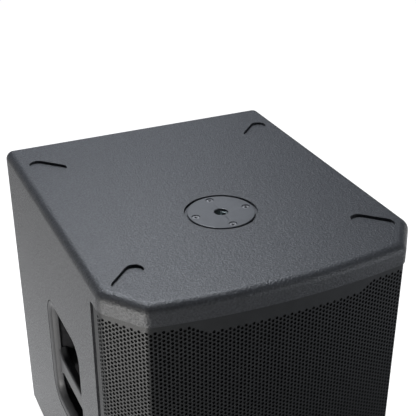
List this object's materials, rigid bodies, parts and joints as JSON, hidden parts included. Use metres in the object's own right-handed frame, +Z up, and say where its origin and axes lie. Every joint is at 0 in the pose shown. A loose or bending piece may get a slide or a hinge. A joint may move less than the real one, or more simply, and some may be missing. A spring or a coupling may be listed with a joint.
{
  "type": "pa speaker cabinet",
  "caption": "Active subwoofer cabinet with a bowed perforated steel front, a threaded pole plate in its top, stacking slots and feet, side handles and an amplifier module in the rear.",
  "frame": {"origin": "on the floor, under the middle of the cabinet", "axes": "+Z up, front (grille) towards -Y, +X to the right seen from the front"},
  "size_m": [0.526, 0.628, 0.593],
  "materials": {
    "textured_paint": "black textured paint over plywood",
    "plywood": "bare birch plywood",
    "grille_paint": "satin black",
    "foam": "open-cell foam",
    "zinc_steel": "zinc plated",
    "rubber": "matte",
    "moulded_plastic": "matte",
    "black_aluminium": "black coating",
    "cone_paper": "matte",
    "ferrite": "matte",
    "copper": "enamelled wire",
    "circuit_board": "satin",
    "light_lens": "gloss"
  },
  "bodies": {
    "cabinet": {"top_panel": "textured_paint", "bottom_panel": "textured_paint", "left_side_panel": "textured_paint", "right_side_panel": "textured_paint", "upper_front_rail": "textured_paint", "lower_front_rail": "textured_paint", "rear_panel": "textured_paint", "baffle_board": "textured_paint", "port_shelf": "plywood", "window_brace": "plywood", "grille": "grille_paint", "pole_plate": "grille_paint", "grille_foam": "foam", "pole_socket": "zinc_steel", "pole_plate_screw_1": "zinc_steel", "pole_plate_screw_2": "zinc_steel", "pole_plate_screw_3": "zinc_steel", "pole_plate_screw_4": "zinc_steel", "woofer_screw_1": "zinc_steel", "woofer_screw_2": "zinc_steel", "woofer_screw_3": "zinc_steel", "woofer_screw_4": "zinc_steel", "woofer_screw_5": "zinc_steel", "woofer_screw_6": "zinc_steel", "woofer_screw_7": "zinc_steel", "woofer_screw_8": "zinc_steel", "amp_screw_1": "zinc_steel", "amp_screw_2": "zinc_steel", "amp_screw_3": "zinc_steel", "amp_screw_4": "zinc_steel", "woofer_front_plate": "zinc_steel", "woofer_back_plate": "zinc_steel", "front_left_foot": "rubber", "rear_left_foot": "rubber", "front_right_foot": "rubber", "rear_right_foot": "rubber", "woofer_surround": "rubber", "left_handle": "moulded_plastic", "right_handle": "moulded_plastic", "mains_inlet": "moulded_plastic", "woofer_basket": "black_aluminium", "amp_panel": "black_aluminium", "heat_sink": "black_aluminium", "left_input": "black_aluminium", "right_input": "black_aluminium", "left_output": "black_aluminium", "right_output": "black_aluminium", "woofer_spider": "cone_paper", "woofer_magnet": "ferrite", "power_transformer": "copper", "amp_board": "circuit_board", "status_light": "light_lens"},
    "cone_assembly": {"woofer_cone": "cone_paper", "woofer_dust_cap": "cone_paper", "woofer_voice_coil": "copper"},
    "level_knob": {"level_knob": "moulded_plastic"},
    "power_rocker": {"power_rocker": "moulded_plastic"},
    "phase_button": {"phase_button": "moulded_plastic"},
    "left_input_latch": {"left_input_latch": "zinc_steel"},
    "right_input_latch": {"right_input_latch": "zinc_steel"}
  },
  "joints": [
    {"name": "cone_travel", "type": "slide", "parent": "cabinet", "child": "cone_assembly", "axis": [0, -1, 0], "range_m": [-0.006, 0.006], "stiffness_N_per_m": 9000},
    {"name": "level_turn", "type": "hinge", "parent": "cabinet", "child": "level_knob", "pos_m": [0.06, 0.2983, 0.2625], "axis": [0, -1, 0], "range_deg": [-150, 150]},
    {"name": "power_rock", "type": "hinge", "parent": "cabinet", "child": "power_rocker", "pos_m": [-0.03, 0.2943, 0.1825], "axis": [1, 0, 0], "range_deg": [0, 16]},
    {"name": "phase_press", "type": "slide", "parent": "cabinet", "child": "phase_button", "axis": [0, -1, 0], "range_m": [0, 0.002], "stiffness_N_per_m": 300},
    {"name": "left_latch_press", "type": "slide", "parent": "cabinet", "child": "left_input_latch", "axis": [0, -1, 0], "range_m": [0, 0.0015], "stiffness_N_per_m": 400},
    {"name": "right_latch_press", "type": "slide", "parent": "cabinet", "child": "right_input_latch", "axis": [0, -1, 0], "range_m": [0, 0.0015], "stiffness_N_per_m": 400}
  ]
}
